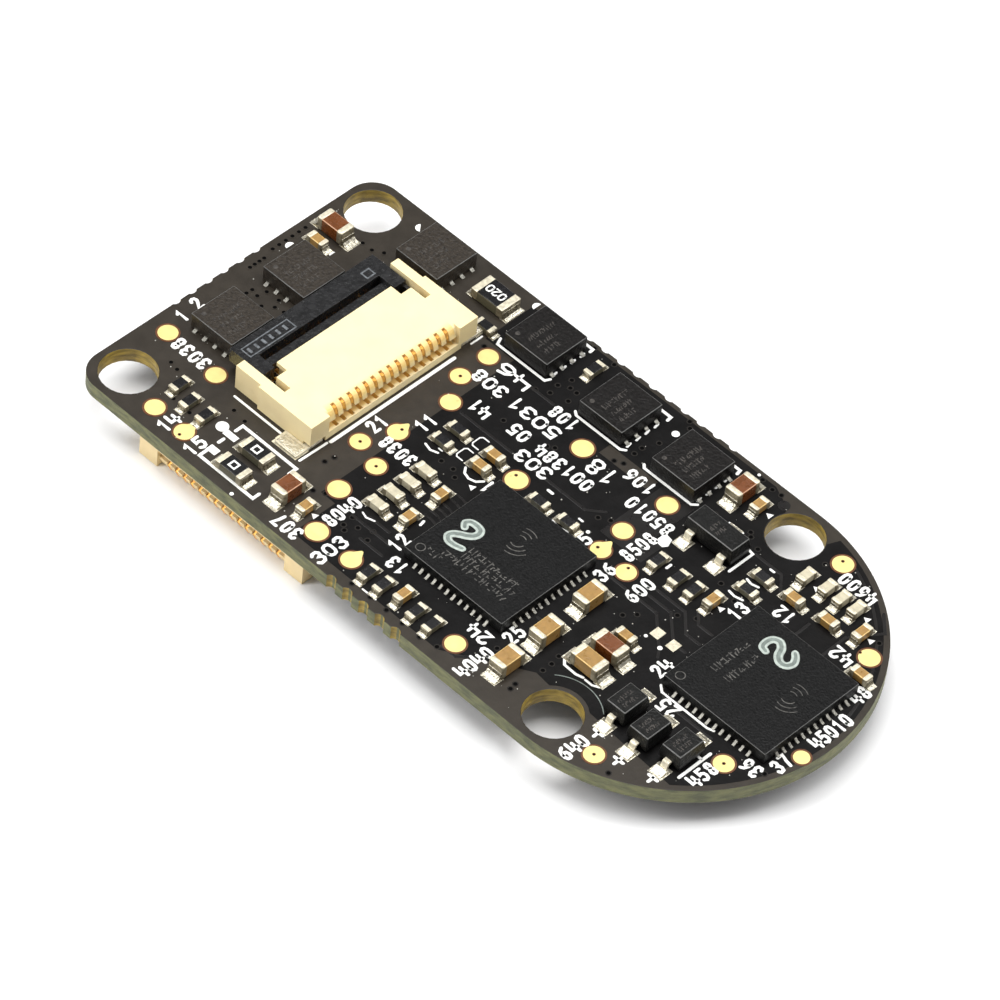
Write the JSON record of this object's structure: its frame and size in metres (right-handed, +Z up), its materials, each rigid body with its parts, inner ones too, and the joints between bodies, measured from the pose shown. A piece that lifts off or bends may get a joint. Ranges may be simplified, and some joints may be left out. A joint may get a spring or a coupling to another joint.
{
  "type": "flight controller board",
  "caption": "Small round-ended drone flight controller board with four screw holes, a flip-lever ribbon-cable connector on each face, microcontrollers and motor drivers.",
  "frame": {"origin": "centre of the whole part's box, at its lowest point, which is the outer face of the connector on the underside", "axes": "+Z up off the board's top face, +Y along the board towards its flat end, +X across the board"},
  "size_m": [0.019, 0.038, 0.0037],
  "materials": {
    "circuit_board": "semi-gloss dark solder mask over glass-fibre laminate",
    "connector_plastic": "moulded cream nylon",
    "lever_plastic": "moulded black plastic",
    "gold_contact": "gold plated",
    "tinned_metal": "tin plated and soldered",
    "chip_plastic": "moulded epoxy",
    "tan_ceramic": "fired ceramic",
    "brown_ceramic": "fired ceramic",
    "grey_ceramic": "fired ceramic"
  },
  "bodies": {
    "board": {"circuit_board": "circuit_board", "top_connector_housing": "connector_plastic", "top_connector_solder_tab_left": "tinned_metal", "top_connector_solder_tab_right": "tinned_metal", "bottom_connector_housing": "connector_plastic", "bottom_connector_solder_tab_left": "tinned_metal", "bottom_connector_solder_tab_right": "tinned_metal", "top_connector_contact_1": "gold_contact", "top_connector_contact_2": "gold_contact", "top_connector_contact_3": "gold_contact", "top_connector_contact_4": "gold_contact", "top_connector_contact_5": "gold_contact", "top_connector_contact_6": "gold_contact", "top_connector_contact_7": "gold_contact", "top_connector_contact_8": "gold_contact", "top_connector_contact_9": "gold_contact", "top_connector_contact_10": "gold_contact", "top_connector_contact_11": "gold_contact", "top_connector_contact_12": "gold_contact", "top_connector_contact_13": "gold_contact", "top_connector_contact_14": "gold_contact", "top_connector_contact_15": "gold_contact", "microcontroller_1": "chip_plastic", "microcontroller_2": "chip_plastic", "motor_driver_1": "chip_plastic", "motor_driver_2": "chip_plastic", "motor_driver_3": "chip_plastic", "motor_driver_4": "chip_plastic", "motor_driver_5": "chip_plastic", "motor_driver_6": "chip_plastic", "voltage_regulator": "chip_plastic", "current_shunt": "chip_plastic", "diode_1": "chip_plastic", "diode_2": "chip_plastic", "diode_3": "chip_plastic", "marked_fuse_1": "chip_plastic", "marked_fuse_2": "chip_plastic", "large_brown_capacitor_1": "brown_ceramic", "large_brown_capacitor_2": "brown_ceramic", "large_brown_capacitor_3": "brown_ceramic", "large_brown_capacitor_4": "brown_ceramic", "large_tan_capacitor_1": "tan_ceramic", "large_tan_capacitor_2": "tan_ceramic", "large_tan_capacitor_3": "tan_ceramic", "large_tan_capacitor_4": "tan_ceramic", "small_grey_capacitor_1": "grey_ceramic", "small_grey_capacitor_2": "grey_ceramic", "small_grey_capacitor_3": "grey_ceramic", "small_grey_capacitor_4": "grey_ceramic", "small_grey_capacitor_5": "grey_ceramic", "small_grey_capacitor_6": "grey_ceramic", "small_grey_capacitor_7": "grey_ceramic", "small_grey_capacitor_8": "grey_ceramic", "small_tan_capacitor_1": "tan_ceramic", "small_tan_capacitor_2": "tan_ceramic", "small_tan_capacitor_3": "tan_ceramic", "small_tan_capacitor_4": "tan_ceramic", "small_tan_capacitor_5": "tan_ceramic"},
    "top_lever": {"top_connector_lever": "lever_plastic"},
    "bottom_lever": {"bottom_connector_lever": "lever_plastic"}
  },
  "joints": [
    {"name": "top_lever_flip", "type": "hinge", "parent": "board", "child": "top_lever", "pos_m": [0.0003, 0.01127, 0.00299], "axis": [1, 0, 0], "range_deg": [0, 95]},
    {"name": "bottom_lever_flip", "type": "hinge", "parent": "board", "child": "bottom_lever", "pos_m": [-0.00633, 0.0095, 0.00071], "axis": [0, 1, 0], "range_deg": [0, 95]}
  ]
}
